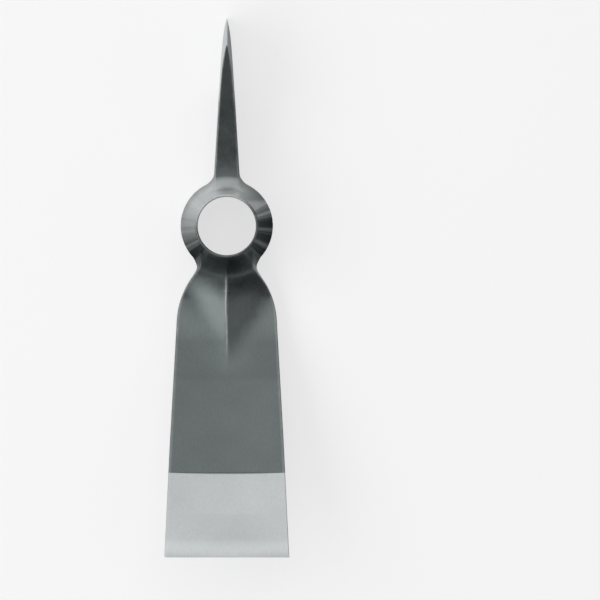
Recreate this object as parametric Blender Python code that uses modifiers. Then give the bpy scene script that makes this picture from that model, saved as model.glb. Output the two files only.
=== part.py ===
"""Cutter mattock head: a tapered round eye between a hoe blade and an axe-like cutter blade.

Metres, +Z up. The head lies on the wide end of its eye, so the eye's axis is upright.
The cutter points along +Y and the hoe along -Y. The origin is on the ground, in the
middle of the head's footprint. Below, reach is a distance from the eye's axis towards
a blade's edge, and height is a distance above the ground.
"""

import math

import bmesh
import bpy
import numpy as np

# Whole head
HOE_REACH = 0.2320
CUTTER_REACH = 0.1453
EYE_Y = (HOE_REACH - CUTTER_REACH) / 2
SEAM_GAP = 0.0003

# Eye: a flared tube, wide at the ground and narrow where the handle leaves it
EYE_HEIGHT = 0.0678
EYE_TOP_RADIUS = 0.0222
EYE_BASE_RADIUS = 0.0324
EYE_FLARE = 0.0024
BORE_TOP_RADIUS = 0.0203
BORE_BASE_RADIUS = 0.0270
EYE_ROUND_STEPS = 72
EYE_HEIGHT_STEPS = 8

# Hoe outlines: corners as (reach, size), and the radius that rounds each inner corner
HOE_BACK_BEVEL_REACH = 0.2245
HOE_FRONT_BEVEL_REACH = 0.2254
HOE_SIDE = [(0.0180, 0.0170), (0.0240, 0.0207), (0.0299, 0.0207), (0.0509, 0.0342),
            (0.1500, 0.0398), (HOE_REACH, 0.0438)]
HOE_SIDE_RADII = [0.004, 0.010, 0.058, 0.400]
HOE_BACK = [(0.0180, 0.0), (0.0624, 0.0), (HOE_BACK_BEVEL_REACH, 0.0618), (HOE_REACH, 0.0676)]
HOE_BACK_RADII = [0.125, 0.0]
HOE_FRONT = [(0.0180, 0.0290), (0.0210, 0.0307), (0.0369, 0.0124), (0.0672, 0.0124),
             (0.1078, 0.0279), (HOE_FRONT_BEVEL_REACH, 0.0678), (HOE_REACH, 0.0678)]
HOE_FRONT_RADII = [0.0, 0.034, 0.080, 0.100, 0.0]
RIB_CREST = [(0.0180, 0.0600), (0.0236, 0.0600), (0.0272, 0.0352), (0.0345, 0.0290),
             (0.0470, 0.0221), (0.0700, 0.0188), (0.1000, 0.0252), (0.1500, 0.0385)]
RIB_CREST_RADII = [0.0, 0.010, 0.030, 0.045, 0.060, 0.200]
RIB_HALF_WIDTH = [(0.0180, 0.0300), (0.0450, 0.0300), (0.1050, 0.0150)]
SIDE_WALL_LEAN = [(0.0180, 0.0012), (0.0320, 0.0010), (0.0420, 0.0)]
RIB_HOLLOW = 1.8
HOE_ROOT_FILLET = 0.0056
FLANK_STEPS = 6
HOE_ROOT_STEPS = 12
HOE_BLADE_STEPS = 22
HOE_EDGE_STEPS = 4

# Hoe zones
HOE_ROOT_START = 0.0180
HOE_SEAM_REACH = 0.0450
HOE_GROUND_REACH = 0.1727

# Cutter outlines
CUTTER_FLARE = [(0.0180, 0.0490), (0.0246, 0.0490), (0.0252, 0.0353), (0.0657, 0.0384),
                (0.1270, 0.0828)]
CUTTER_FLARE_RADII = [0.0, 0.006, 0.105]
CUTTER_CORNER_HEIGHT = 0.0828
CUTTER_ARC_REACH = -0.0262
CUTTER_ARC_HEIGHT = 0.0055
CUTTER_ARC_RADIUS = 0.1715
CUTTER_EDGE_FLAT = 0.0001
CUTTER_BEVEL_THICKNESS = 0.0023
CUTTER_BEVEL_LENGTH = 0.0090
CUTTER_WEDGE_SLOPE = 0.060
CUTTER_ROOT_FILLET = 0.0090

# Cutter zones
CUTTER_ROOT_START = 0.0180
CUTTER_SEAM_REACH = 0.0390
CUTTER_GROUND_BASE_REACH = 0.0938
CUTTER_GROUND_TOP_REACH = 0.0862
CUTTER_ROWS = 8
CUTTER_STEPS = 12

# Colours, metallic and roughness
FORGED_STEEL = ((0.127, 0.150, 0.147, 1.0), 0.9, 0.34)
GROUND_STEEL = ((0.497, 0.533, 0.533, 1.0), 0.9, 0.26)


def clear_scene():
    for item in list(bpy.data.objects):
        bpy.data.objects.remove(item, do_unlink=True)


def new_collection(name, hidden):
    collection = bpy.data.collections.new(name)
    collection.hide_render = hidden
    bpy.context.scene.collection.children.link(collection)
    return collection


def steel(name, look):
    colour, metallic, roughness = look
    material = bpy.data.materials.new(name)
    material.use_nodes = True
    shader = material.node_tree.nodes["Principled BSDF"]
    shader.inputs["Base Color"].default_value = colour
    shader.inputs["Metallic"].default_value = metallic
    shader.inputs["Roughness"].default_value = roughness
    return material


def add_object(name, mesh, collection, material=None):
    item = bpy.data.objects.new(name, mesh)
    collection.objects.link(item)
    if material:
        mesh.materials.append(material)
    else:
        item.hide_render = True
        item.display_type = "WIRE"
    return item


def rounded_path(corners, radii, steps=10):
    """The corner points as one line, with each inner corner rounded by an arc."""
    points = [np.array(corners[0])]
    for before, corner, after, radius in zip(corners, corners[1:], corners[2:], radii):
        corner = np.array(corner)
        inward = np.array(before) - corner
        outward = np.array(after) - corner
        inward = inward / np.linalg.norm(inward)
        outward = outward / np.linalg.norm(outward)
        turn = math.pi - math.acos(np.clip(inward @ outward, -1.0, 1.0))
        trim = radius * math.tan(turn / 2)
        if trim < 1e-6:
            points.append(corner)
            continue
        middle = inward + outward
        centre = corner + middle / np.linalg.norm(middle) * radius / math.cos(turn / 2)
        start = corner + inward * trim - centre
        finish = corner + outward * trim - centre
        for step in range(steps + 1):
            share = step / steps
            weights = math.sin(turn * (1 - share)), math.sin(turn * share)
            points.append(centre + (weights[0] * start + weights[1] * finish) / math.sin(turn))
    points.append(np.array(corners[-1]))
    return np.array(points)


def height_at(path, reach):
    return float(np.interp(reach, path[:, 0], path[:, 1]))


def eye_radius(height):
    """Outer radius of the eye, which flares a little faster towards the ground."""
    share = 1 - height / EYE_HEIGHT
    straight = EYE_BASE_RADIUS - EYE_TOP_RADIUS - EYE_FLARE
    return EYE_TOP_RADIUS + straight * share + EYE_FLARE * share**2


def filleted_half_width(half_width, reach, height, fillet):
    """Half width of a blade's root, widened by a fillet where it runs into the eye."""
    eye = eye_radius(height)
    centre = half_width + fillet
    far = math.sqrt(max((eye + fillet) ** 2 - centre**2, 0.0))
    if reach >= far:
        return half_width
    near = far * eye / (eye + fillet)
    depth = far - max(reach, near)
    return centre - math.sqrt(max(fillet**2 - depth**2, 0.0))


def loft(name, sections):
    """A closed mesh through sections that each have the same number of points."""
    mesh = bpy.data.meshes.new(name)
    form = bmesh.new()
    rings = [[form.verts.new(point) for point in section] for section in sections]
    count = len(rings[0])
    for ring, following in zip(rings, rings[1:]):
        for index in range(count):
            after = (index + 1) % count
            form.faces.new((ring[index], ring[after], following[after], following[index]))
    form.faces.new(rings[0])
    form.faces.new(rings[-1])
    bmesh.ops.recalc_face_normals(form, faces=form.faces)
    form.to_mesh(mesh)
    form.free()
    return mesh


def hoe_section(reach, paths):
    """The hoe's cross-section: flat back, upright sides and a ribbed front."""
    half_width = height_at(paths["side"], reach)
    back = height_at(paths["back"], reach)
    front = height_at(paths["front"], reach)
    crest = max(height_at(paths["crest"], reach), front)
    lean = height_at(paths["lean"], reach)
    base_half = filleted_half_width(half_width, reach, back, HOE_ROOT_FILLET)
    front_half = half_width - lean
    rib_half = min(height_at(paths["rib"], reach), front_half)
    outline = [(base_half, back), (-base_half, back)]
    flank = []
    for step in range(1, FLANK_STEPS + 1):
        share = step / FLANK_STEPS
        flank.append((share * rib_half, front + (crest - front) * (1 - share) ** RIB_HOLLOW))
    flank.append((front_half, front))
    outline += [(-x, z) for x, z in reversed(flank)]
    outline.append((0.0, crest))
    outline += flank
    return [(x, EYE_Y - reach, z) for x, z in outline]


def hoe_paths():
    return {
        "side": rounded_path(HOE_SIDE, HOE_SIDE_RADII),
        "back": rounded_path(HOE_BACK, HOE_BACK_RADII),
        "front": rounded_path(HOE_FRONT, HOE_FRONT_RADII),
        "crest": rounded_path(RIB_CREST, RIB_CREST_RADII),
        "rib": np.array(RIB_HALF_WIDTH),
        "lean": np.array(SIDE_WALL_LEAN),
    }


def hoe_mesh(name, start, finish, steps, extra=()):
    """A stretch of the hoe between two reaches, with extra sections where it bends sharply."""
    paths = hoe_paths()
    reaches = sorted({*np.linspace(start, finish, steps + 1), *extra})
    return loft(name, [hoe_section(reach, paths) for reach in reaches])


def cutter_half_thickness(reach, height):
    """Half thickness of the cutter: a wedge with a convex bevel along its curved edge."""
    across = math.hypot(reach - CUTTER_ARC_REACH, height - CUTTER_ARC_HEIGHT)
    depth = max(CUTTER_ARC_RADIUS - across, 0.0)
    bevel = CUTTER_BEVEL_THICKNESS * (1 - math.exp(-depth / CUTTER_BEVEL_LENGTH))
    wedge = CUTTER_EDGE_FLAT + bevel + CUTTER_WEDGE_SLOPE * depth
    return filleted_half_width(wedge, reach, height, CUTTER_ROOT_FILLET)


def edge_rail(share):
    """Reach of the cutting edge, from its heel on the ground to its raised corner."""
    rise = share * CUTTER_CORNER_HEIGHT - CUTTER_ARC_HEIGHT
    return CUTTER_ARC_REACH + math.sqrt(CUTTER_ARC_RADIUS**2 - rise**2)


def ground_rail(share):
    """Reach of the slanted line where the dark forged finish meets the ground steel."""
    return CUTTER_GROUND_BASE_REACH * (1 - share) + CUTTER_GROUND_TOP_REACH * share


def straight_rail(reach):
    return lambda share: reach


def offset_rail(rail, offset):
    return lambda share: rail(share) + offset


def cutter_section(share_out, inner, outer, flare):
    """One ring round the blade, part of the way from the inner rail to the outer one."""

    def reach_at(share):
        return inner(share) * (1 - share_out) + outer(share) * share_out

    top = height_at(flare, reach_at(1.0))
    right = []
    for row in range(CUTTER_ROWS + 1):
        share = row / CUTTER_ROWS
        reach = reach_at(share)
        height = share * top
        right.append((cutter_half_thickness(reach, height), EYE_Y + reach, height))
    return right + [(-x, y, z) for x, y, z in reversed(right)]


def cutter_mesh(name, inner, outer, steps):
    """A stretch of the cutter between two rails, with closer sections near the outer one."""
    flare = rounded_path(CUTTER_FLARE, CUTTER_FLARE_RADII)
    shares = [math.sin(step / steps * math.pi / 2) for step in range(steps + 1)]
    return loft(name, [cutter_section(share, inner, outer, flare) for share in shares])


def turned_mesh(name, profile, collection, steps):
    """A closed profile turned round the eye's axis, as a plain mesh at the eye's place."""
    mesh = bpy.data.meshes.new(name)
    edges = [(index, (index + 1) % len(profile)) for index in range(len(profile))]
    mesh.from_pydata([(radius, 0.0, height) for radius, height in profile], edges, [])
    item = bpy.data.objects.new(name, mesh)
    collection.objects.link(item)
    item.location = (0.0, EYE_Y, 0.0)
    item.hide_render = True
    item.display_type = "WIRE"
    screw = item.modifiers.new("Turn", "SCREW")
    screw.axis = "Z"
    screw.steps = steps
    screw.render_steps = steps
    screw.use_merge_vertices = True
    screw.merge_threshold = 0.0001
    return item


def eye_form(collection):
    """The eye as a solid flared plug, before its bore is cut."""
    profile = [(0.0, EYE_HEIGHT)]
    for step in range(EYE_HEIGHT_STEPS + 1):
        height = EYE_HEIGHT * (1 - step / EYE_HEIGHT_STEPS)
        profile.append((eye_radius(height), height))
    profile.append((0.0, 0.0))
    return turned_mesh("eye_form", profile, collection, EYE_ROUND_STEPS)


def bore_form(collection):
    """The tapered bore, run on past both ends of the eye so that it cuts cleanly."""
    past = 0.010
    taper = (BORE_BASE_RADIUS - BORE_TOP_RADIUS) / EYE_HEIGHT
    top = EYE_HEIGHT + past
    profile = [
        (0.0, top),
        (BORE_TOP_RADIUS - taper * past, top),
        (BORE_BASE_RADIUS + taper * past, -past),
        (0.0, -past),
    ]
    return turned_mesh("bore_form", profile, collection, EYE_ROUND_STEPS)


def add_boolean(item, other, operation):
    boolean = item.modifiers.new(f"{operation.title()} {other.name}", "BOOLEAN")
    boolean.operation = operation
    boolean.solver = "EXACT"
    boolean.object = other


def make_eye(parts, cutters, forged):
    """The eye with the roots of both blades joined on and the bore cut through them."""
    hoe_root = hoe_mesh(
        "hoe_root", HOE_ROOT_START, HOE_SEAM_REACH - SEAM_GAP / 2, HOE_ROOT_STEPS
    )
    cutter_root = cutter_mesh(
        "cutter_root",
        straight_rail(CUTTER_ROOT_START),
        straight_rail(CUTTER_SEAM_REACH - SEAM_GAP / 2),
        CUTTER_STEPS,
    )
    eye = eye_form(cutters)
    eye.name = "eye_socket"
    eye.hide_render = False
    eye.display_type = "TEXTURED"
    eye.data.materials.append(forged)
    cutters.objects.unlink(eye)
    parts.objects.link(eye)
    add_boolean(eye, add_object("hoe_root_form", hoe_root, cutters), "UNION")
    add_boolean(eye, add_object("cutter_root_form", cutter_root, cutters), "UNION")
    add_boolean(eye, bore_form(cutters), "DIFFERENCE")
    return eye


def make_hoe(parts, forged, ground):
    half_gap = SEAM_GAP / 2
    blade = hoe_mesh(
        "hoe_blade", HOE_SEAM_REACH + half_gap, HOE_GROUND_REACH - half_gap, HOE_BLADE_STEPS
    )
    edge = hoe_mesh(
        "hoe_edge",
        HOE_GROUND_REACH + half_gap,
        HOE_REACH,
        HOE_EDGE_STEPS,
        (HOE_BACK_BEVEL_REACH, HOE_FRONT_BEVEL_REACH),
    )
    add_object("hoe_blade", blade, parts, forged)
    add_object("hoe_edge", edge, parts, ground)


def make_cutter(parts, forged, ground):
    half_gap = SEAM_GAP / 2
    blade = cutter_mesh(
        "cutter_blade",
        straight_rail(CUTTER_SEAM_REACH + half_gap),
        offset_rail(ground_rail, -half_gap),
        CUTTER_STEPS,
    )
    edge = cutter_mesh(
        "cutter_edge", offset_rail(ground_rail, half_gap), edge_rail, CUTTER_STEPS
    )
    add_object("cutter_blade", blade, parts, forged)
    add_object("cutter_edge", edge, parts, ground)


def main():
    clear_scene()
    parts = new_collection("cutter_mattock_head", hidden=False)
    cutters = new_collection("forms_and_cutters", hidden=True)
    forged = steel("forged_steel", FORGED_STEEL)
    ground = steel("ground_steel", GROUND_STEEL)
    make_eye(parts, cutters, forged)
    make_hoe(parts, forged, ground)
    make_cutter(parts, forged, ground)
    bpy.context.view_layer.update()


main()
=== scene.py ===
"""Looks of the cutter mattock head: one forged surface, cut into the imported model's five zones.

Metres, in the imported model's frame. Reach is a distance from the eye's axis towards a
blade's edge, and height is a distance above the floor.

The whole head is one formula, negative inside the steel. The eye and the roots of both
blades are meshed straight from it. The blades are rows of sections that are moved onto it,
so that they meet the eye without a step. Shading normals come from the formula too.
"""

import math

import bmesh
import bpy
import numpy as np
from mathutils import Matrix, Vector


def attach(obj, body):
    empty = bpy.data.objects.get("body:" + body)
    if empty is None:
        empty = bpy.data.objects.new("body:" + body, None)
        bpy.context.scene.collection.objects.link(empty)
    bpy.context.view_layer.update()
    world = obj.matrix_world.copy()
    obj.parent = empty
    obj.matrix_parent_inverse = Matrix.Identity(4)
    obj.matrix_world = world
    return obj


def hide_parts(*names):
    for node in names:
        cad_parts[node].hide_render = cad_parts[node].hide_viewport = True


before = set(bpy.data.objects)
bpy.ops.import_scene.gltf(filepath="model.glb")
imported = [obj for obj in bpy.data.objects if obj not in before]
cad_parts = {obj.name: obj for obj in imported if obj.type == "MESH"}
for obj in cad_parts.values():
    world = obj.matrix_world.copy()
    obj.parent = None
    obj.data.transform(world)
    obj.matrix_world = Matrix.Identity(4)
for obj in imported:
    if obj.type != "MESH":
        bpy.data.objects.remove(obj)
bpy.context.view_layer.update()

# Whole head
HOE_REACH = 0.2320
CUTTER_REACH = 0.1453
EYE_Y = (HOE_REACH - CUTTER_REACH) / 2
GROUND_DEPTH = 0.00006

# Rounding of edges: full on an edge, gone a little way from it, and less where steel is thin
CREASE = 0.0008
CREASE_FADE = 0.0050
LEAST_ROUNDING = 1e-6
THIN_SHARE = 0.35

# Eye: a flared tube, wide at the floor
EYE_HEIGHT = 0.0678
EYE_TOP_RADIUS = 0.0222
EYE_BASE_RADIUS = 0.0324
EYE_FLARE = 0.0024
BORE_TOP_RADIUS = 0.0203
BORE_BASE_RADIUS = 0.0270
RIM_ROUNDING = 0.0008
BASE_ROUNDING = 0.0004

# Past this reach a blade may stand higher than the eye's rim, by this much
RIM_REACH = 0.0285
BLADE_RISE = 0.0300

# Hoe outlines: corners as (reach, size), and the radius that rounds each inner corner
HOE_SIDE = [(0.0180, 0.0170), (0.0240, 0.0207), (0.0299, 0.0207), (0.0509, 0.0342),
            (0.1500, 0.0398), (HOE_REACH, 0.0438)]
HOE_SIDE_RADII = [0.004, 0.010, 0.058, 0.400]
HOE_BACK = [(0.0180, 0.0), (0.0624, 0.0), (0.2245, 0.0618), (HOE_REACH, 0.0676)]
HOE_BACK_RADII = [0.125, 0.0]
HOE_FRONT = [(0.0180, 0.0335), (0.0369, 0.0124), (0.0672, 0.0124), (0.1078, 0.0279),
             (0.2254, 0.0678), (HOE_REACH, 0.0678)]
HOE_FRONT_RADII = [0.034, 0.080, 0.100, 0.0395]
SIDE_WALL_LEAN = [(0.0180, 0.0012), (0.0320, 0.0010), (0.0420, 0.0)]
SIDE_WALL_LEAN_LIMIT = 1.3

# Hoe's centre rib, hollow-sided, and the shallow dish of its plate
RIB_CREST = [(0.0180, 0.0430), (0.0345, 0.0290), (0.0470, 0.0221), (0.0700, 0.0188),
             (0.1000, 0.0252), (0.1500, 0.0385)]
RIB_CREST_RADII = [0.030, 0.045, 0.060, 0.200]
RIB_HALF_WIDTH = [(0.0180, 0.0360), (0.0450, 0.0370), (0.0750, 0.0300), (0.1050, 0.0170)]
RIB_HOLLOW = 2.2
RIB_SOFTNESS = 0.0012
RIB_FADE = 0.0006
PLATE_DISH = 0.0011
DISH_START = 0.0600
DISH_FULL = 0.1300
DISH_RUN_OUT = 0.0300

# Neck, where the hoe grows out of the eye
NECK_SIDE_FILLET = 0.0042
NECK_FRONT_FILLET = 0.0090
NECK_CREASE = 0.0040
NECK_CREASE_BLEND = 0.0060

# Cutter outlines, its curved edge as a circle, and its bevelled wedge
CUTTER_FLARE = [(0.0180, 0.0347), (0.0657, 0.0384), (0.1270, 0.0828)]
CUTTER_FLARE_RADII = [0.105]
CUTTER_CORNER_HEIGHT = 0.0828
CUTTER_ARC_REACH = -0.0262
CUTTER_ARC_HEIGHT = 0.0055
CUTTER_ARC_RADIUS = 0.1715
CUTTER_EDGE_FLAT = 0.0001
CUTTER_BEVEL_THICKNESS = 0.0023
CUTTER_BEVEL_LENGTH = 0.0090
CUTTER_WEDGE_SLOPE = 0.060
CHEEK_FILLET = 0.0055
FLARE_FILLET = 0.0089, 0.0058

# Where the zones meet
HOE_SEAM_REACH = 0.0450
HOE_GROUND_REACH = 0.1727
CUTTER_SEAM_REACH = 0.0390
CUTTER_GROUND_BASE_REACH = 0.0938
CUTTER_GROUND_TOP_REACH = 0.0862

# Mesh spacing of the eye, and how a point is moved onto the surface
ARC_STEPS = 60
NET_STEP = 0.00062
NET_SIDE_MARGIN = 0.0030
NET_EASING = 0.6
NET_EASING_ROUNDS = 3
SLOPE_STEP = 0.0003
GRADIENT_STEP = 0.00004
LEAST_RATE = 0.09
LONGEST_MOVE = 0.0006
TINY = 1e-12

# Mesh spacing of the blades
HOE_STATION = 0.0015
HOE_BEVEL_STATIONS = (0.2238, 0.2245, 0.2252, 0.2262)
HOE_BACK_POINTS = 16
HOE_SIDE_POINTS = 9
HOE_FRONT_POINTS = 42
HOE_FRONT_CROWDING = 1.7
HOE_CORNER_POINTS = 4
HOE_MIDDLE_GAP = 0.0001
CUTTER_STATIONS = 32
CUTTER_CROWDING = 1.6
CUTTER_ROWS = 40
CUTTER_BASE_POINTS = 6
CUTTER_BASE_INSET = 0.3
CUTTER_CORNER_POINTS = 5
CUTTER_TOP_POINTS = 9
CUTTER_MIDDLE_GAP = 0.00003
LEAST_HALF_GAP = 0.00002
RING_ROUNDS = 8

# Wear, and along the rib's crest a painted highlight line: how sharply a surface turns where its
# skin wears, as one over a radius in metres
WEAR_FROM = 120.0
WEAR_FULL = 450.0
CREST_HIGHLIGHT_HALF_WIDTH = 0.0025
OUTER_EDGE_WEAR = 0.35
RIM_WEAR = 0.15
RIM_ZONE_RADIUS = 0.0260
RIM_ZONE_HEIGHT = 0.0620
WEAR_CLEAR_OF_WALL = 0.0020

# Faces that get a piece's second finish
BORE_TOLERANCE = 0.0002
BORE_END = 0.0010
HOE_SIDE_FACING = 0.75
CUTTER_TOP_FACING = 0.5


def rounded_path(corners, radii):
    """The corner points as one line, with each inner corner rounded by an arc."""
    points = [np.array(corners[0])]
    for before, corner, after, radius in zip(corners, corners[1:], corners[2:], radii):
        corner = np.array(corner)
        if radius == 0.0:
            points.append(corner)
            continue
        inward = np.array(before) - corner
        outward = np.array(after) - corner
        inward = inward / np.linalg.norm(inward)
        outward = outward / np.linalg.norm(outward)
        turn = math.pi - math.acos(np.clip(inward @ outward, -1.0, 1.0))
        trim = radius * math.tan(turn / 2)
        middle = inward + outward
        centre = corner + middle / np.linalg.norm(middle) * radius / math.cos(turn / 2)
        start = corner + inward * trim - centre
        finish = corner + outward * trim - centre
        for step in range(ARC_STEPS + 1):
            share = step / ARC_STEPS
            weights = math.sin(turn * (1 - share)), math.sin(turn * share)
            points.append(centre + (weights[0] * start + weights[1] * finish) / math.sin(turn))
    points.append(np.array(corners[-1]))
    return np.array(points)


PATHS = {
    "side": rounded_path(HOE_SIDE, HOE_SIDE_RADII),
    "back": rounded_path(HOE_BACK, HOE_BACK_RADII),
    "front": rounded_path(HOE_FRONT, HOE_FRONT_RADII),
    "crest": rounded_path(RIB_CREST, RIB_CREST_RADII),
    "rib": np.array(RIB_HALF_WIDTH),
    "lean": np.array(SIDE_WALL_LEAN),
    "flare": rounded_path(CUTTER_FLARE, CUTTER_FLARE_RADII),
}


def along(name, reach):
    """A named outline's size at a reach."""
    path = PATHS[name]
    return np.interp(reach, path[:, 0], path[:, 1])


def slope(name, reach):
    """How fast a named outline's size changes with reach."""
    rise = along(name, reach + SLOPE_STEP) - along(name, reach - SLOPE_STEP)
    return rise / (2 * SLOPE_STEP)


def union_round(a, b, radius):
    """Two solids joined, with a fillet where they meet."""
    corner = np.hypot(np.maximum(radius - a, 0.0), np.maximum(radius - b, 0.0))
    return np.maximum(radius, np.minimum(a, b)) - corner


def union_oval(a, b, reach_a, reach_b):
    """Two solids joined by an oval fillet, which starts at these distances from each."""
    from_a = np.maximum(1 - a / reach_a, 0.0)
    from_b = np.maximum(1 - b / reach_b, 0.0)
    out = np.hypot(from_a, from_b)
    rate = np.maximum(np.hypot(from_a / reach_a, from_b / reach_b), TINY)
    return np.where(out > 0, (1 - out) * out / rate, np.minimum(a, b))


def overlap_round(a, b, radius):
    """What two solids share, with their common edge rounded."""
    corner = np.hypot(np.maximum(radius + a, 0.0), np.maximum(radius + b, 0.0))
    return np.minimum(-radius, np.maximum(a, b)) + corner


def eye_radius(height):
    share = 1 - height / EYE_HEIGHT
    straight = EYE_BASE_RADIUS - EYE_TOP_RADIUS - EYE_FLARE
    return EYE_TOP_RADIUS + straight * share + EYE_FLARE * share**2


def bore_radius(height):
    return BORE_BASE_RADIUS + (BORE_TOP_RADIUS - BORE_BASE_RADIUS) * height / EYE_HEIGHT


def cutter_half_thickness(reach, height):
    """Half thickness of the cutter: a wedge with a convex bevel along its curved edge."""
    across = np.hypot(reach - CUTTER_ARC_REACH, height - CUTTER_ARC_HEIGHT)
    depth = np.maximum(CUTTER_ARC_RADIUS - across, 0.0)
    bevel = CUTTER_BEVEL_THICKNESS * (1 - np.exp(-depth / CUTTER_BEVEL_LENGTH))
    return CUTTER_EDGE_FLAT + bevel + CUTTER_WEDGE_SLOPE * depth


def rib_front(x, reach):
    """Height of the hoe's front face, and its slope."""
    front = along("front", reach)
    rise = along("crest", reach) - front
    rise = (rise + np.sqrt(rise**2 + RIB_FADE**2)) / 2
    half = along("rib", reach)
    soft = np.sqrt(x**2 + RIB_SOFTNESS**2)
    left = np.clip(1 - (soft - RIB_SOFTNESS) / half, 0.0, 1.0)
    height = front + rise * left**RIB_HOLLOW
    across = -RIB_HOLLOW * rise / half * left ** (RIB_HOLLOW - 1) * x / soft
    grown = np.clip((reach - DISH_START) / (DISH_FULL - DISH_START), 0.0, 1.0)
    faded = np.clip((HOE_REACH - reach) / DISH_RUN_OUT, 0.0, 1.0)
    dish = PLATE_DISH * grown**2 * (3 - 2 * grown) * faded
    height = height - dish * (1 - (x / along("side", reach)) ** 2)
    lengthways = slope("front", reach) * (1 - left) + slope("crest", reach) * left
    return height, np.hypot(across, lengthways)


def crease(first, second, size=CREASE):
    """Rounding of an edge between two faces: full on the edge, fading away from it."""
    away = np.maximum(np.abs(first), np.abs(second))
    return size * np.clip(1 - away / CREASE_FADE, 0.0, 1.0) ** 2 + LEAST_ROUNDING


def cutter_solid(eye, x, reach, height):
    half = cutter_half_thickness(reach, height)
    cheek = np.maximum(np.abs(x) - half, -reach)
    top = (height - along("flare", reach)) / np.sqrt(1 + slope("flare", reach) ** 2)
    top = np.maximum(top, -reach)
    rounding = np.minimum(crease(cheek, top), THIN_SHARE * half)
    return overlap_round(
        union_round(eye, cheek, CHEEK_FILLET), union_oval(eye, top, *FLARE_FILLET), rounding
    )


def hoe_solid(eye, x, reach, height):
    front_height, front_slope = rib_front(x, reach)
    back_height = along("back", reach)
    edge_height = along("front", reach)
    rise = (height - back_height) / (edge_height - back_height)
    leaning = along("lean", reach) * np.clip(rise, 0.0, SIDE_WALL_LEAN_LIMIT)
    half = along("side", reach) - leaning
    side = np.maximum(np.abs(x) - half, -reach) / np.sqrt(1 + slope("side", reach) ** 2)
    front = (height - front_height) / np.sqrt(1 + front_slope**2)
    front = np.maximum(front, -reach)
    back = (back_height - height) / np.sqrt(1 + slope("back", reach) ** 2)
    thin = THIN_SHARE * (edge_height - back_height)
    near_eye = np.exp(-((np.maximum(eye, 0.0) / NECK_CREASE_BLEND) ** 2))
    rounding = crease(side, front, CREASE + (NECK_CREASE - CREASE) * near_eye)
    outside = overlap_round(
        union_round(eye, side, NECK_SIDE_FILLET),
        union_round(eye, front, NECK_FRONT_FILLET),
        np.minimum(rounding, thin),
    )
    return overlap_round(outside, back, np.minimum(CREASE, thin))


def head(x, y, height):
    """The whole head: negative inside the steel, positive outside, near zero a distance."""
    x, y, height = np.broadcast_arrays(x, y, height)
    from_axis = np.hypot(x, y - EYE_Y)
    lean = (EYE_BASE_RADIUS - EYE_TOP_RADIUS) / EYE_HEIGHT
    eye = (from_axis - eye_radius(height)) / math.sqrt(1 + lean**2)
    reach = y - EYE_Y
    solid = np.where(
        reach > 0, cutter_solid(eye, x, reach, height), hoe_solid(eye, x, -reach, height)
    )
    over_eye = height - EYE_HEIGHT - BLADE_RISE * (np.abs(reach) > RIM_REACH)
    solid = overlap_round(solid, over_eye, RIM_ROUNDING)
    thin = np.where(reach > EYE_BASE_RADIUS, cutter_half_thickness(reach, height), 1.0)
    solid = overlap_round(solid, -height, np.minimum(BASE_ROUNDING, THIN_SHARE * thin))
    bore = bore_radius(height) - from_axis
    return overlap_round(solid, bore, RIM_ROUNDING)


def gradient(points):
    """Direction in which the formula grows fastest, and its rate, at each point."""
    rates = []
    for axis in range(3):
        step = np.zeros(3)
        step[axis] = GRADIENT_STEP
        rates.append(head(*(points + step).T) - head(*(points - step).T))
    return np.stack(rates, axis=1) / (2 * GRADIENT_STEP)


def settle(points, rounds=4, offset=0.0, hold_y=False):
    """Moves points onto the surface, or to a depth below it."""
    for _ in range(rounds):
        direction = gradient(points)
        if hold_y:
            direction[:, 1] = 0.0
        rate = np.maximum((direction**2).sum(1), LEAST_RATE)
        distance = head(*points.T) + offset
        move = direction * (distance / rate)[:, None]
        length = np.linalg.norm(move, axis=1, keepdims=True)
        points = points - move * np.minimum(1.0, LONGEST_MOVE / np.maximum(length, TINY))
    return points


def net_points(values, low, step):
    """One point in each cell of a grid that the surface crosses, and each cell's number."""
    inside = values < 0
    counts = np.array(values.shape) - 1
    corners = [(i, j, k) for i in (0, 1) for j in (0, 1) for k in (0, 1)]
    filled = sum(
        inside[i:i + counts[0], j:j + counts[1], k:k + counts[2]].astype(np.int8)
        for i, j, k in corners
    )
    cells = np.argwhere((filled > 0) & (filled < 8))
    number = np.full(tuple(counts), -1)
    number[tuple(cells.T)] = np.arange(len(cells))
    total = np.zeros((len(cells), 3))
    crossings = np.zeros(len(cells))
    for start in corners:
        for axis in range(3):
            if start[axis]:
                continue
            finish = list(start)
            finish[axis] = 1
            first = values[tuple((cells + start).T)]
            second = values[tuple((cells + finish).T)]
            crossed = (first < 0) != (second < 0)
            share = np.where(crossed, first / np.where(crossed, first - second, 1.0), 0.0)
            place = cells + np.array(start, float)
            place[:, axis] += share
            total += place * crossed[:, None]
            crossings += crossed
    return np.array(low) + total / crossings[:, None] * step, number


def net_faces(inside, number):
    """A four-sided face for each line of a grid that the surface crosses."""
    counts = number.shape
    faces = []
    for axis in range(3):
        one, two = [other for other in range(3) if other != axis]
        first = np.take(inside, np.arange(counts[axis]), axis)
        second = np.take(inside, np.arange(1, counts[axis] + 1), axis)
        edges = np.argwhere(first != second)
        edges = edges[(edges[:, one] > 0) & (edges[:, two] > 0)]
        edges = edges[(edges[:, one] < counts[one]) & (edges[:, two] < counts[two])]
        ring = []
        for back_one, back_two in ((1, 1), (0, 1), (0, 0), (1, 0)):
            cell = edges.copy()
            cell[:, one] -= back_one
            cell[:, two] -= back_two
            ring.append(number[tuple(cell.T)])
        ring = np.stack(ring, axis=1)
        leaving = first[tuple(edges.T)] ^ (axis == 1)
        faces.append(np.where(leaving[:, None], ring, ring[:, ::-1]))
    return np.concatenate(faces)


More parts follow.
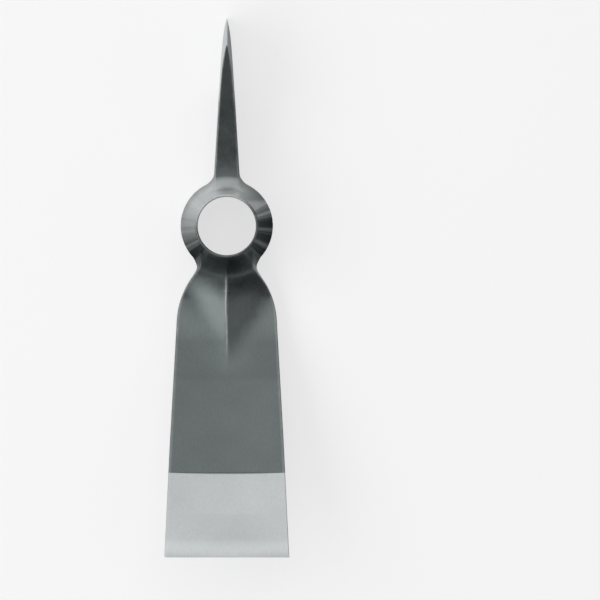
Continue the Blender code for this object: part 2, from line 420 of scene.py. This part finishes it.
def net(low, high, step):
    """Points and four-sided faces where the formula is zero inside a box."""
    axes = [np.arange(start, finish + step, step) for start, finish in zip(low, high)]
    values = head(axes[0][:, None, None], axes[1][None, :, None], axes[2][None, None, :])
    points, number = net_points(values, low, step)
    return points, net_faces(values < 0, number)


def even_out(points, faces):
    """Moves each point towards its neighbours' middle and back onto the surface."""
    for _ in range(NET_EASING_ROUNDS):
        total = np.zeros_like(points)
        number = np.zeros(len(points))
        for corner in range(4):
            here = faces[:, corner]
            for other in (faces[:, corner - 1], faces[:, (corner + 1) % 4]):
                np.add.at(total, here, points[other])
                np.add.at(number, here, 1)
        middles = total / number[:, None]
        points = settle(points + NET_EASING * (middles - points), rounds=2)
    return points


def link(name, mesh):
    piece = bpy.data.objects.new(name, mesh)
    bpy.context.scene.collection.objects.link(piece)
    return piece


def mark_wear_and_highlight(mesh, points, normals):
    """Stores how sharply the surface turns outward at each point, where it is rubbed bright; along
    the rib's crest the full amount is a painted highlight.
    """
    ends = np.empty(len(mesh.edges) * 2, dtype=np.int32)
    mesh.edges.foreach_get("vertices", ends)
    first, second = ends.reshape(-1, 2).T
    apart = points[first] - points[second]
    turn = ((normals[first] - normals[second]) * apart).sum(1)
    turn /= np.maximum((apart**2).sum(1), TINY)
    sharpest = np.zeros(len(points))
    np.maximum.at(sharpest, first, turn)
    np.maximum.at(sharpest, second, turn)
    wear_and_highlight = np.clip((sharpest - WEAR_FROM) / (WEAR_FULL - WEAR_FROM), 0.0, 1.0)
    # Full amount along the rib's crest, as a painted highlight line; less on other edges, as wear
    wear_and_highlight *= np.where(np.abs(points[:, 0]) < CREST_HIGHLIGHT_HALF_WIDTH, 1.0, OUTER_EDGE_WEAR)
    from_axis = np.hypot(points[:, 0], points[:, 1] - EYE_Y)
    at_rim = (from_axis < RIM_ZONE_RADIUS) & (points[:, 2] > RIM_ZONE_HEIGHT)
    from_wall = from_axis - eye_radius(points[:, 2])
    clear = np.clip(from_wall / WEAR_CLEAR_OF_WALL - 1, 0.0, 1.0)
    wear_and_highlight *= np.where(at_rim, RIM_WEAR, clear)
    attribute = mesh.attributes.new("wear_and_highlight", "FLOAT", "POINT")
    attribute.data.foreach_set("value", wear_and_highlight.astype(np.float32))


def shade(mesh, flat_faces):
    """Smooth shading with the formula's own normals, except on the faces listed."""
    points = np.empty(len(mesh.vertices) * 3)
    mesh.vertices.foreach_get("co", points)
    points = points.reshape(-1, 3)
    normals = gradient(points)
    normals /= np.maximum(np.linalg.norm(normals, axis=1, keepdims=True), TINY)
    corners = np.empty(len(mesh.loops), dtype=np.int32)
    mesh.loops.foreach_get("vertex_index", corners)
    each = normals[corners]
    for index in flat_faces:
        face = mesh.polygons[index]
        each[list(face.loop_indices)] = face.normal
    mesh.polygons.foreach_set("use_smooth", [True] * len(mesh.polygons))
    mesh.normals_split_custom_set(each.tolist())
    mark_wear_and_highlight(mesh, points, normals)


def finish_piece(name, mesh, form, caps):
    """Writes the edited form to its mesh, shades it and puts it in the scene."""
    form.faces.index_update()
    flat_faces = [face.index for face in caps]
    form.to_mesh(mesh)
    form.free()
    shade(mesh, flat_faces)
    return link(name, mesh)


def make_eye(name):
    """The eye with both blades' roots, cut flat at the two seams."""
    margin = 2 * NET_STEP
    half = EYE_BASE_RADIUS + NET_SIDE_MARGIN
    low = (-half, EYE_Y - HOE_SEAM_REACH - margin, -margin)
    high = (half, EYE_Y + CUTTER_SEAM_REACH + margin, EYE_HEIGHT + margin)
    points, faces = net(low, high, NET_STEP)
    points = even_out(settle(points), faces)
    mesh = bpy.data.meshes.new(name)
    mesh.from_pydata(points.tolist(), [], faces.tolist())
    form = bmesh.new()
    form.from_mesh(mesh)
    caps = []
    for y, outward in ((EYE_Y - HOE_SEAM_REACH, -1.0), (EYE_Y + CUTTER_SEAM_REACH, 1.0)):
        geometry = form.verts[:] + form.edges[:] + form.faces[:]
        cut = bmesh.ops.bisect_plane(
            form, geom=geometry, plane_co=(0, y, 0), plane_no=(0, outward, 0), clear_outer=True
        )
        rim = [item for item in cut["geom_cut"] if isinstance(item, bmesh.types.BMEdge)]
        caps += bmesh.ops.contextual_create(form, geom=rim)["faces"]
    bmesh.ops.recalc_face_normals(form, faces=form.faces)
    return finish_piece(name, mesh, form, caps)


def ring_strip(form, ring, following):
    count = len(ring)
    for index in range(count):
        after = (index + 1) % count
        form.faces.new((ring[index], ring[after], following[after], following[index]))


def ring_cap(form, ring):
    """Closes a ring whose second half mirrors its first."""
    last = len(ring) - 1
    return [
        form.faces.new((ring[index], ring[index + 1], ring[last - index - 1], ring[last - index]))
        for index in range(len(ring) // 2 - 1)
    ]


def loft(name, rings):
    """A closed piece through rings of points, with flat ends."""
    mesh = bpy.data.meshes.new(name)
    form = bmesh.new()
    rows = [[form.verts.new(point) for point in ring] for ring in rings]
    for row, following in zip(rows, rows[1:]):
        ring_strip(form, row, following)
    caps = ring_cap(form, rows[0]) + ring_cap(form, rows[-1])
    bmesh.ops.recalc_face_normals(form, faces=form.faces)
    if form.calc_volume(signed=True) < 0:
        bmesh.ops.reverse_faces(form, faces=form.faces)
    return finish_piece(name, mesh, form, caps)


def settled_ring(right, offset):
    """A whole ring from its right half, which starts and ends just off the middle."""
    right = settle(np.array(right), rounds=RING_ROUNDS, offset=offset, hold_y=True)
    right[:, 0] = np.maximum(right[:, 0], LEAST_HALF_GAP)
    left = right[::-1] * np.array([-1.0, 1.0, 1.0])
    return np.concatenate([right, left])


def corner_points(x, height, radius, first_angle):
    """Points inside a rounded corner's quarter turn."""
    angles = first_angle + math.pi / 2 * np.linspace(0, 1, HOE_CORNER_POINTS + 2)[1:-1]
    return [(x + radius * math.cos(angle), height + radius * math.sin(angle)) for angle in angles]


def hoe_ring(reach, offset):
    """The hoe's outline at a reach, moved onto the surface."""
    half = float(along("side", reach))
    back = float(along("back", reach))
    front = float(along("front", reach))
    lean = float(along("lean", reach))
    trim = min(CREASE, THIN_SHARE * (front - back))
    inner = half - trim
    right = [(x, back) for x in np.linspace(HOE_MIDDLE_GAP, inner, HOE_BACK_POINTS)]
    right += corner_points(inner, back + trim, trim, -math.pi / 2)
    right += [(half, height) for height in np.linspace(back + trim, front - trim, HOE_SIDE_POINTS)]
    right += corner_points(inner, front - trim, trim, 0.0)
    shares = np.linspace(1.0, 0.0, HOE_FRONT_POINTS) ** HOE_FRONT_CROWDING
    for x in HOE_MIDDLE_GAP + (inner - lean - HOE_MIDDLE_GAP) * shares:
        right.append((x, float(rib_front(x, reach)[0])))
    return settled_ring([(x, EYE_Y - reach, height) for x, height in right], offset)


def hoe_rings(start, finish, offset=0.0, extra=()):
    count = max(2, round((finish - start) / HOE_STATION))
    reaches = sorted({*np.linspace(start, finish, count + 1), *extra})
    return [hoe_ring(reach, offset) for reach in reaches]


def cutter_ring(rail, offset):
    """The cutter's outline along a rail, which gives a reach for each share of the height."""
    flare_height = float(along("flare", rail(1.0)))
    cheek = []
    for share in np.linspace(0.0, 1.0, CUTTER_ROWS + 1):
        reach = rail(share)
        height = share * flare_height
        cheek.append((float(cutter_half_thickness(reach, height)), EYE_Y + reach, height))

    half, y, height = cheek[0]
    trim = min(BASE_ROUNDING, THIN_SHARE * half)
    inset = CUTTER_BASE_INSET * trim
    right = [(x, y, 0.0) for x in np.linspace(CUTTER_MIDDLE_GAP, half - trim, CUTTER_BASE_POINTS)]
    right.append((half - inset, y, inset))
    right += cheek[1:-1]

    half, y, height = cheek[-1]
    trim = min(CREASE, THIN_SHARE * half)
    for angle in np.linspace(0.0, math.pi / 2, CUTTER_CORNER_POINTS):
        x = half - trim + trim * math.cos(angle)
        right.append((x, y, height - trim + trim * math.sin(angle)))
    for x in np.linspace(half - trim, CUTTER_MIDDLE_GAP, CUTTER_TOP_POINTS)[1:]:
        right.append((x, y, height))
    return settled_ring(right, offset)


def edge_rail(share):
    rise = share * CUTTER_CORNER_HEIGHT - CUTTER_ARC_HEIGHT
    return CUTTER_ARC_REACH + math.sqrt(CUTTER_ARC_RADIUS**2 - rise**2)


def ground_rail(share):
    return CUTTER_GROUND_BASE_REACH * (1 - share) + CUTTER_GROUND_TOP_REACH * share


def seam_rail(share):
    return CUTTER_SEAM_REACH


def cutter_rings(inner, outer, offset=0.0):
    """Rings from one rail to another, a little closer together towards the second."""
    rings = []
    for station in np.linspace(0.0, 1.0, CUTTER_STATIONS + 1):
        out = station * (CUTTER_CROWDING - (CUTTER_CROWDING - 1) * station)

        def rail(share):
            return inner(share) * (1 - out) + outer(share) * out

        rings.append(cutter_ring(rail, offset))
    return rings


# Side of the eye painted paler as light falling on it, the rest painted darker as shade, as a
# direction from the eye's axis
LIT_SIDE_AZIMUTH = math.radians(110)
LIT_SIDE = (math.cos(LIT_SIDE_AZIMUTH), math.sin(LIT_SIDE_AZIMUTH), 0)

# Where finishes, painted light and painted shade come in or go out, as distances from the eye's
# axis and as facings
BLADE_DISTANCES = 0.0330, 0.0430
WALL_DISTANCES = 0.0285, 0.0350
LIT_SIDE_FACINGS = 0.25, 0.80
SHADED_SIDE_FACINGS = 0.25, -0.25
SIDEWAYS_FACINGS = 0.35, 0.70

# Painted shade on the cutter's right side, as duller reflections: x from the middle, and reach from
# the eye's axis
SHADED_CHEEK_SIDE = 0.0, 0.0010
SHADED_CHEEK_REACHES = 0.0300, 0.0360
SHADED_SHOULDER_SIDE = 0.0075, 0.0095
SHADED_SHOULDER_REACHES = 0.0160, 0.0190
SHOULDER_SHADE = 0.6

# Noise: where most of its values lie, and the streaks that break up the painted shade down the eye
NOISE_SPAN = 0.35, 0.65
NOISE_ROUGHNESS = 0.55
STREAK_SCALE = 160.0
STREAK = 0.3
WEAR_LEFT_BY_PATCHES = 0.55, 1.0

# Finishes: colours, noise scales per metre, bump depths in metres
BORE_LOOK = {
    "dark": (0.40, 0.41, 0.40, 1), "light": (0.55, 0.56, 0.55, 1), "bare": (0.50, 0.52, 0.52, 1),
    "broad_scale": 26.0, "patch_scale": 220.0, "line_scale": 1100.0, "line_stretch": 22.0,
    "skin_scale": 2600.0, "broad_tone": 0.22, "patch_tone": 0.18, "line_tone": 0.30,
    "roughness": 0.36, "rough_change": 0.03, "wear_and_highlight": 0.75,
    "skin_depth": 0.000006, "line_depth": 0.0000035, "wave_depth": 0.00006,
}
FORGED_LOOK = {
    **BORE_LOOK,
    "dark": (0.113, 0.129, 0.1285, 1), "light": (0.143, 0.162, 0.161, 1),
    # Next three lines: a dark scale colour that is painted shade on the eye's side away from the
    # light, a specular tint that is painted shade on the cutter's right side, and two pale colours
    # that are painted light on the eye's lit side
    "scale": (0.075, 0.086, 0.086, 1), "painted_shade_tint": (0.15, 0.16, 0.16, 1),
    "painted_light_dark": (0.47, 0.49, 0.49, 1), "painted_light_pale": (0.53, 0.55, 0.55, 1),
    "painted_light_rough": 0.24,
}
GROUND_LOOK = {
    "dark": (0.450, 0.473, 0.477, 1), "light": (0.530, 0.556, 0.562, 1),
    # The second colour on the next line is a specular tint that is painted shade on the cutter's
    # right cheek
    "bare": (0.64, 0.66, 0.66, 1), "painted_shade_tint": (0.15, 0.16, 0.16, 1),
    "broad_scale": 24.0, "patch_scale": 150.0, "line_scale": 1500.0, "line_stretch": 30.0,
    "skin_scale": 3000.0, "broad_tone": 0.20, "patch_tone": 0.12, "line_tone": 0.32,
    "roughness": 0.42, "rough_change": 0.018, "wear_and_highlight": 0.25,
    "skin_depth": 0.0000012, "line_depth": 0.0000022, "wave_depth": 0.00005,
}


def node(tree, kind, inputs=None, **settings):
    """A new shader node, with its settings and with values or other nodes' outputs as inputs."""
    made = tree.nodes.new("ShaderNode" + kind)
    for name, value in settings.items():
        setattr(made, name, value)
    for name, value in (inputs or {}).items():
        if isinstance(value, bpy.types.NodeSocket):
            tree.links.new(value, made.inputs[name])
        else:
            made.inputs[name].default_value = value
    return made


def new_material(name):
    material = bpy.data.materials.new(name)
    material.use_nodes = True
    tree = material.node_tree
    return material, tree, tree.nodes["Principled BSDF"]


def noise(tree, coordinates, scale, stretch=(1, 1, 1), detail=3.0, offset=0.0):
    """Noise with a scale per metre, drawn out where its stretch is above one."""
    placed = node(
        tree, "Mapping", {"Vector": coordinates, "Location": (offset, offset, offset),
                          "Scale": tuple(1 / amount for amount in stretch)}
    )
    made = node(tree, "TexNoise", {"Vector": placed.outputs["Vector"], "Scale": scale,
                                   "Detail": detail, "Roughness": NOISE_ROUGHNESS})
    return made.outputs["Fac"]


def spread(tree, value, low, high, span=NOISE_SPAN):
    """A value's span, spread over low to high."""
    made = node(tree, "MapRange", {"Value": value, "From Min": span[0], "From Max": span[1],
                                   "To Min": low, "To Max": high})
    return made.outputs["Result"]


def combine(tree, operation, first, second=0.0):
    made = node(tree, "Math", {0: first, 1: second}, operation=operation)
    return made.outputs[0]


def vector(tree, operation, **inputs):
    """A vector sum, whose inputs are named a, b, c and scale."""
    sockets = {"a": 0, "b": 1, "c": 2, "scale": "Scale"}
    return node(
        tree, "VectorMath", {sockets[name]: value for name, value in inputs.items()},
        operation=operation,
    )


def mix_colour(tree, share, first, second):
    """A mix of two colours, each a value or a node's output."""
    return node(tree, "Mix", {0: share, 6: first, 7: second}, data_type="RGBA").outputs[2]


def round_the_eye(tree, where):
    """Place from the eye's axis, distance from it, direction from it, and share on a blade."""
    place = vector(tree, "SUBTRACT", a=where, b=(0, EYE_Y, 0)).outputs[0]
    flat = vector(tree, "MULTIPLY", a=place, b=(1, 1, 0)).outputs[0]
    distance = vector(tree, "LENGTH", a=flat).outputs["Value"]
    outward = vector(tree, "NORMALIZE", a=flat).outputs[0]
    on_blade = spread(tree, distance, 0.0, 1.0, BLADE_DISTANCES)
    return place, distance, outward, on_blade


def on_wall(tree, outward):
    """Each direction's place on the eye's wall, the same at every height."""
    return vector(tree, "SCALE", a=outward, scale=EYE_BASE_RADIUS).outputs[0]


def drawn_lines(tree, where, place, outward, on_blade, look):
    """Fine lines along the blades, which turn to run up the eye and out from its axis."""
    upright = (0, 0, 1 / look["line_stretch"])
    upward = vector(tree, "MULTIPLY_ADD", a=place, b=upright, c=on_wall(tree, outward))
    radial = noise(tree, upward.outputs[0], look["line_scale"])
    straight = noise(tree, where, look["line_scale"], stretch=(1, look["line_stretch"], 1))
    made = node(tree, "Mix", {"Factor": on_blade, "A": radial, "B": straight}, data_type="FLOAT")
    return made.outputs["Result"]


def painted_light_and_shade(tree, place, distance, outward, on_blade):
    """Shares of painted shade as dark scale away from the light, of painted light as pale skin on
    the lit side, and of painted shade in the cutter's right side's reflections.
    """
    facing = vector(tree, "DOT_PRODUCT", a=outward, b=LIT_SIDE).outputs["Value"]
    # Painted shade: dark scale on the side of the eye that faces away from the light, broken by
    # streaks
    painted_shade = spread(tree, facing, 0.0, 1.0, SHADED_SIDE_FACINGS)
    streaks = noise(tree, on_wall(tree, outward), STREAK_SCALE, detail=2.0, offset=1.3)
    painted_shade = combine(tree, "ADD", painted_shade, spread(tree, streaks, -STREAK, STREAK))
    painted_shade = spread(tree, painted_shade, 0.0, 1.0, (0.0, 1.0))
    sideways = combine(tree, "ABSOLUTE", node(tree, "SeparateXYZ", {0: outward}).outputs["X"])
    off_neck = spread(tree, sideways, 0.0, 1.0, SIDEWAYS_FACINGS)
    off_blade = combine(tree, "SUBTRACT", 1.0, on_blade)
    painted_shade = combine(tree, "MULTIPLY", painted_shade, combine(tree, "MULTIPLY", off_neck, off_blade))

    # Painted light: a paler skin on the side of the eye that faces the light
    painted_light = spread(tree, facing, 0.0, 1.0, LIT_SIDE_FACINGS)
    at_wall = spread(tree, distance, 1.0, 0.0, WALL_DISTANCES)
    painted_light = combine(tree, "MULTIPLY", painted_light, at_wall)

    apart = node(tree, "SeparateXYZ", {0: place}).outputs
    # Painted shade on the cutter's right cheek and on the eye's shoulder beside it
    cheek = combine(tree, "MULTIPLY", spread(tree, apart["X"], 0.0, 1.0, SHADED_CHEEK_SIDE),
                    spread(tree, apart["Y"], 0.0, 1.0, SHADED_CHEEK_REACHES))
    shaded_shoulder = combine(tree, "MULTIPLY",
                       spread(tree, apart["X"], 0.0, SHOULDER_SHADE, SHADED_SHOULDER_SIDE),
                       spread(tree, apart["Y"], 0.0, 1.0, SHADED_SHOULDER_REACHES))
    dulled_by_painted_shade = combine(tree, "MAXIMUM", combine(tree, "MAXIMUM", painted_shade, cheek), shaded_shoulder)
    return painted_shade, painted_light, dulled_by_painted_shade


def bump(tree, height, depth, below=None):
    """A normal that follows a height, on top of another normal."""
    inputs = {"Height": height, "Distance": depth, "Strength": 1.0}
    if below:
        inputs["Normal"] = below
    return node(tree, "Bump", inputs).outputs["Normal"]


def steel(name, look):
    """Steel with broad changes of tone, a fine skin, drawn lines, edges worn bright, and where the
    look has them painted light and painted shade on the eye and the cutter's right side.
    """
    material, tree, shader = new_material(name)
    where = node(tree, "TexCoord").outputs["Object"]
    broad = noise(tree, where, look["broad_scale"], detail=2.0)
    patches = noise(tree, where, look["patch_scale"], detail=4.0, offset=3.1)
    skin = noise(tree, where, look["skin_scale"], detail=5.0, offset=7.7)
    place, distance, outward, on_blade = round_the_eye(tree, where)
    lines = drawn_lines(tree, where, place, outward, on_blade, look)

    tone = combine(tree, "ADD", spread(tree, broad, -look["broad_tone"], look["broad_tone"]),
                   spread(tree, patches, -look["patch_tone"], look["patch_tone"]))
    tone = combine(tree, "ADD", tone, spread(tree, lines, -look["line_tone"], look["line_tone"]))
    share = combine(tree, "ADD", tone, 0.5)
    colour = mix_colour(tree, share, look["dark"], look["light"])
    rough = combine(tree, "ADD", spread(tree, patches, -look["rough_change"], look["rough_change"]),
                    spread(tree, lines, -look["rough_change"], look["rough_change"]))
    rough = combine(tree, "ADD", rough, look["roughness"])

    # Painted shade: a darker specular tint where the eye's far side and the cutter's right side
    # would lie in shade
    if "painted_shade_tint" in look:
        painted_shade, painted_light, dulled_by_painted_shade = painted_light_and_shade(tree, place, distance, outward, on_blade)
        tint = mix_colour(tree, dulled_by_painted_shade, (1, 1, 1, 1), look["painted_shade_tint"])
        tree.links.new(tint, shader.inputs["Specular Tint"])
    if "scale" in look:
        # Painted shade, then painted light, mixed into the eye's colour
        colour = mix_colour(tree, painted_shade, colour, look["scale"])
        painted_light_colour = mix_colour(tree, share, look["painted_light_dark"], look["painted_light_pale"])
        colour = mix_colour(tree, painted_light, colour, painted_light_colour)
        rough = combine(tree, "ADD", rough, combine(tree, "MULTIPLY", painted_light, look["painted_light_rough"]))

    # Edges worn bright, and the rib's crest painted lighter as a highlight line
    wear_and_highlight = node(tree, "Attribute", attribute_name="wear_and_highlight", attribute_type="GEOMETRY").outputs["Fac"]
    broken = spread(tree, patches, *WEAR_LEFT_BY_PATCHES)
    wear_and_highlight = combine(tree, "MULTIPLY", combine(tree, "MULTIPLY", wear_and_highlight, broken), look["wear_and_highlight"])
    colour = mix_colour(tree, wear_and_highlight, colour, look["bare"])

    fine = bump(tree, skin, look["skin_depth"])
    drawn = bump(tree, lines, look["line_depth"], fine)
    tree.links.new(bump(tree, broad, look["wave_depth"], drawn), shader.inputs["Normal"])
    tree.links.new(colour, shader.inputs["Base Color"])
    tree.links.new(rough, shader.inputs["Roughness"])
    shader.inputs["Metallic"].default_value = 1.0
    return material


def dress(piece, node_name, slot, *materials):
    for material in materials:
        piece.data.materials.append(material)
    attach(piece, "root")
    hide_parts(node_name)


def second_finish(piece, chosen):
    """Gives the piece's second material to the faces that pass a test."""
    for face in piece.data.polygons:
        if chosen(face):
            face.material_index = 1


def in_bore(face):
    x, y, height = face.center
    inside = math.hypot(x, y - EYE_Y) < bore_radius(height) + BORE_TOLERANCE
    return inside and height < EYE_HEIGHT - BORE_END


def on_hoe_side(face):
    return abs(face.normal.x) > HOE_SIDE_FACING


def on_cutter_top(face):
    return abs(face.normal.z) > CUTTER_TOP_FACING


eye = make_eye("eye_socket_look")
hoe_blade = loft("hoe_blade_look", hoe_rings(HOE_SEAM_REACH, HOE_GROUND_REACH))
hoe_edge = loft(
    "hoe_edge_look", hoe_rings(HOE_GROUND_REACH, HOE_REACH, GROUND_DEPTH, HOE_BEVEL_STATIONS)
)
cutter_blade = loft("cutter_blade_look", cutter_rings(seam_rail, ground_rail))
cutter_edge = loft("cutter_edge_look", cutter_rings(ground_rail, edge_rail, GROUND_DEPTH))

forged = steel("forged_steel_look", FORGED_LOOK)
ground = steel("ground_steel_look", GROUND_LOOK)
bore_steel = steel("bore_steel_look", BORE_LOOK)

dress(eye, "eye_socket", "forged_steel", forged, bore_steel)
dress(hoe_blade, "hoe_blade", "forged_steel", forged)
dress(hoe_edge, "hoe_edge", "ground_steel", ground, forged)
dress(cutter_blade, "cutter_blade", "forged_steel", forged)
dress(cutter_edge, "cutter_edge", "ground_steel", ground, forged)
second_finish(eye, in_bore)
second_finish(hoe_edge, on_hoe_side)
second_finish(cutter_edge, on_cutter_top)

# Floor: pale paper, made whiter where it is seen or mirrored
FLOOR_HALF_WIDTH = 6.0
PAPER_DARK = (0.88, 0.88, 0.88, 1)
PAPER_LIGHT = (0.92, 0.92, 0.92, 1)
PAPER_FLECK_SCALE = 900.0
PAPER_ROUGHNESS = 0.9
PAPER_SHINE = 0.2
PAPER_WHITENESS = 0.66


def make_paper():
    """Paper with fine flecks, which is partly plain white where it is seen or mirrored."""
    paper, tree, sheet = new_material("paper")
    flecks = noise(tree, node(tree, "TexCoord").outputs["Object"], PAPER_FLECK_SCALE)
    tree.links.new(mix_colour(tree, flecks, PAPER_DARK, PAPER_LIGHT), sheet.inputs["Base Color"])
    sheet.inputs["Roughness"].default_value = PAPER_ROUGHNESS
    sheet.inputs["Specular IOR Level"].default_value = PAPER_SHINE
    rays = node(tree, "LightPath").outputs
    seen = combine(tree, "MAXIMUM", rays["Is Camera Ray"], rays["Is Glossy Ray"])
    seen = combine(tree, "MAXIMUM", seen, rays["Is Transmission Ray"])
    share = combine(tree, "MULTIPLY", seen, PAPER_WHITENESS)
    white = node(tree, "Emission", {"Color": (1, 1, 1, 1)})
    mixed = node(tree, "MixShader", {0: share, 1: sheet.outputs[0], 2: white.outputs[0]})
    tree.links.new(mixed.outputs[0], tree.nodes["Material Output"].inputs["Surface"])
    return paper


def make_floor():
    size = FLOOR_HALF_WIDTH
    corners = [(-size, -size, 0), (size, -size, 0), (size, size, 0), (-size, size, 0)]
    mesh = bpy.data.meshes.new("floor")
    mesh.from_pydata(corners, [], [(0, 1, 2, 3)])
    mesh.materials.append(make_paper())
    return link("floor", mesh)


floor = make_floor()

# Soft rectangular lamps on a dome round the head
LAMP_DISTANCE = 3.0


def panel(name, azimuth, elevation, size, radiance, aim=0.0):
    """A lamp whose brightness is given as its radiance, turned to a height over the origin."""
    lamp = bpy.data.lights.new(name, "AREA")
    lamp.shape = "RECTANGLE"
    lamp.size, lamp.size_y = size
    lamp.energy = radiance * math.pi * size[0] * size[1]
    item = link(name, lamp)
    turn, up = math.radians(azimuth), math.radians(elevation)
    item.location = (
        LAMP_DISTANCE * math.cos(up) * math.cos(turn),
        LAMP_DISTANCE * math.cos(up) * math.sin(turn),
        LAMP_DISTANCE * math.sin(up),
    )
    direction = Vector((0, 0, aim)) - item.location
    item.rotation_euler = direction.to_track_quat("-Z", "Y").to_euler()


panel("left_bank", 180, 46, (3.0, 2.0), 2.45)
panel("left_low", 172, 8, (1.3, 0.8), 0.6)
panel("near_left", 232, 40, (1.6, 1.8), 1.35)
panel("far_left", 132, 12, (2.0, 1.3), 1.4)
panel("far_low", 90, 15, (2.6, 1.0), 1.8, aim=0.1)
panel("far_high", 90, 58, (2.4, 1.7), 1.3)
panel("overhead", 90, 85, (1.6, 1.4), 1.5)
panel("right_bank", 0, 45, (2.8, 1.8), 0.65)
panel("right_low", 0, 10, (3.0, 0.9), 0.6)
panel("near_low", 270, 12, (3.0, 0.9), 0.5)
panel("near_bank", 270, 45, (2.8, 1.8), 0.15)

# Studio round the floor: pale up to the horizon, dim above it
HORIZON = 0.9
ROOM = 0.05
HORIZON_RISE = 0.02, 0.07


def make_studio():
    studio = bpy.data.worlds.new("studio")
    studio.use_nodes = True
    tree = studio.node_tree
    background = tree.nodes["Background"]
    background.inputs["Color"].default_value = (1, 1, 1, 1)
    direction = node(tree, "TexCoord").outputs["Generated"]
    level = node(
        tree, "MapRange",
        {"Value": node(tree, "SeparateXYZ", {0: direction}).outputs["Z"],
         "From Min": HORIZON_RISE[0], "From Max": HORIZON_RISE[1],
         "To Min": HORIZON, "To Max": ROOM},
        interpolation_type="SMOOTHSTEP",
    )
    tree.links.new(level.outputs["Result"], background.inputs["Strength"])
    return studio


bpy.context.scene.world = make_studio()

# Camera straight above, with the eye's axis where the photograph's left view has it
PIXEL = 0.0007
PICTURE_PIXELS = 600
EYE_PIXEL_ACROSS = 226.8
EYE_PIXEL_DOWN = 226.0
CAMERA_HEIGHT = 1.5

camera_data = bpy.data.cameras.new("camera")
camera_data.type = "ORTHO"
camera_data.ortho_scale = PICTURE_PIXELS * PIXEL
camera = link("camera", camera_data)
camera.location = (
    (PICTURE_PIXELS / 2 - EYE_PIXEL_ACROSS) * PIXEL,
    EYE_Y - (PICTURE_PIXELS / 2 - EYE_PIXEL_DOWN) * PIXEL,
    CAMERA_HEIGHT,
)
bpy.context.scene.camera = camera
bpy.context.scene.view_settings.view_transform = "Standard"
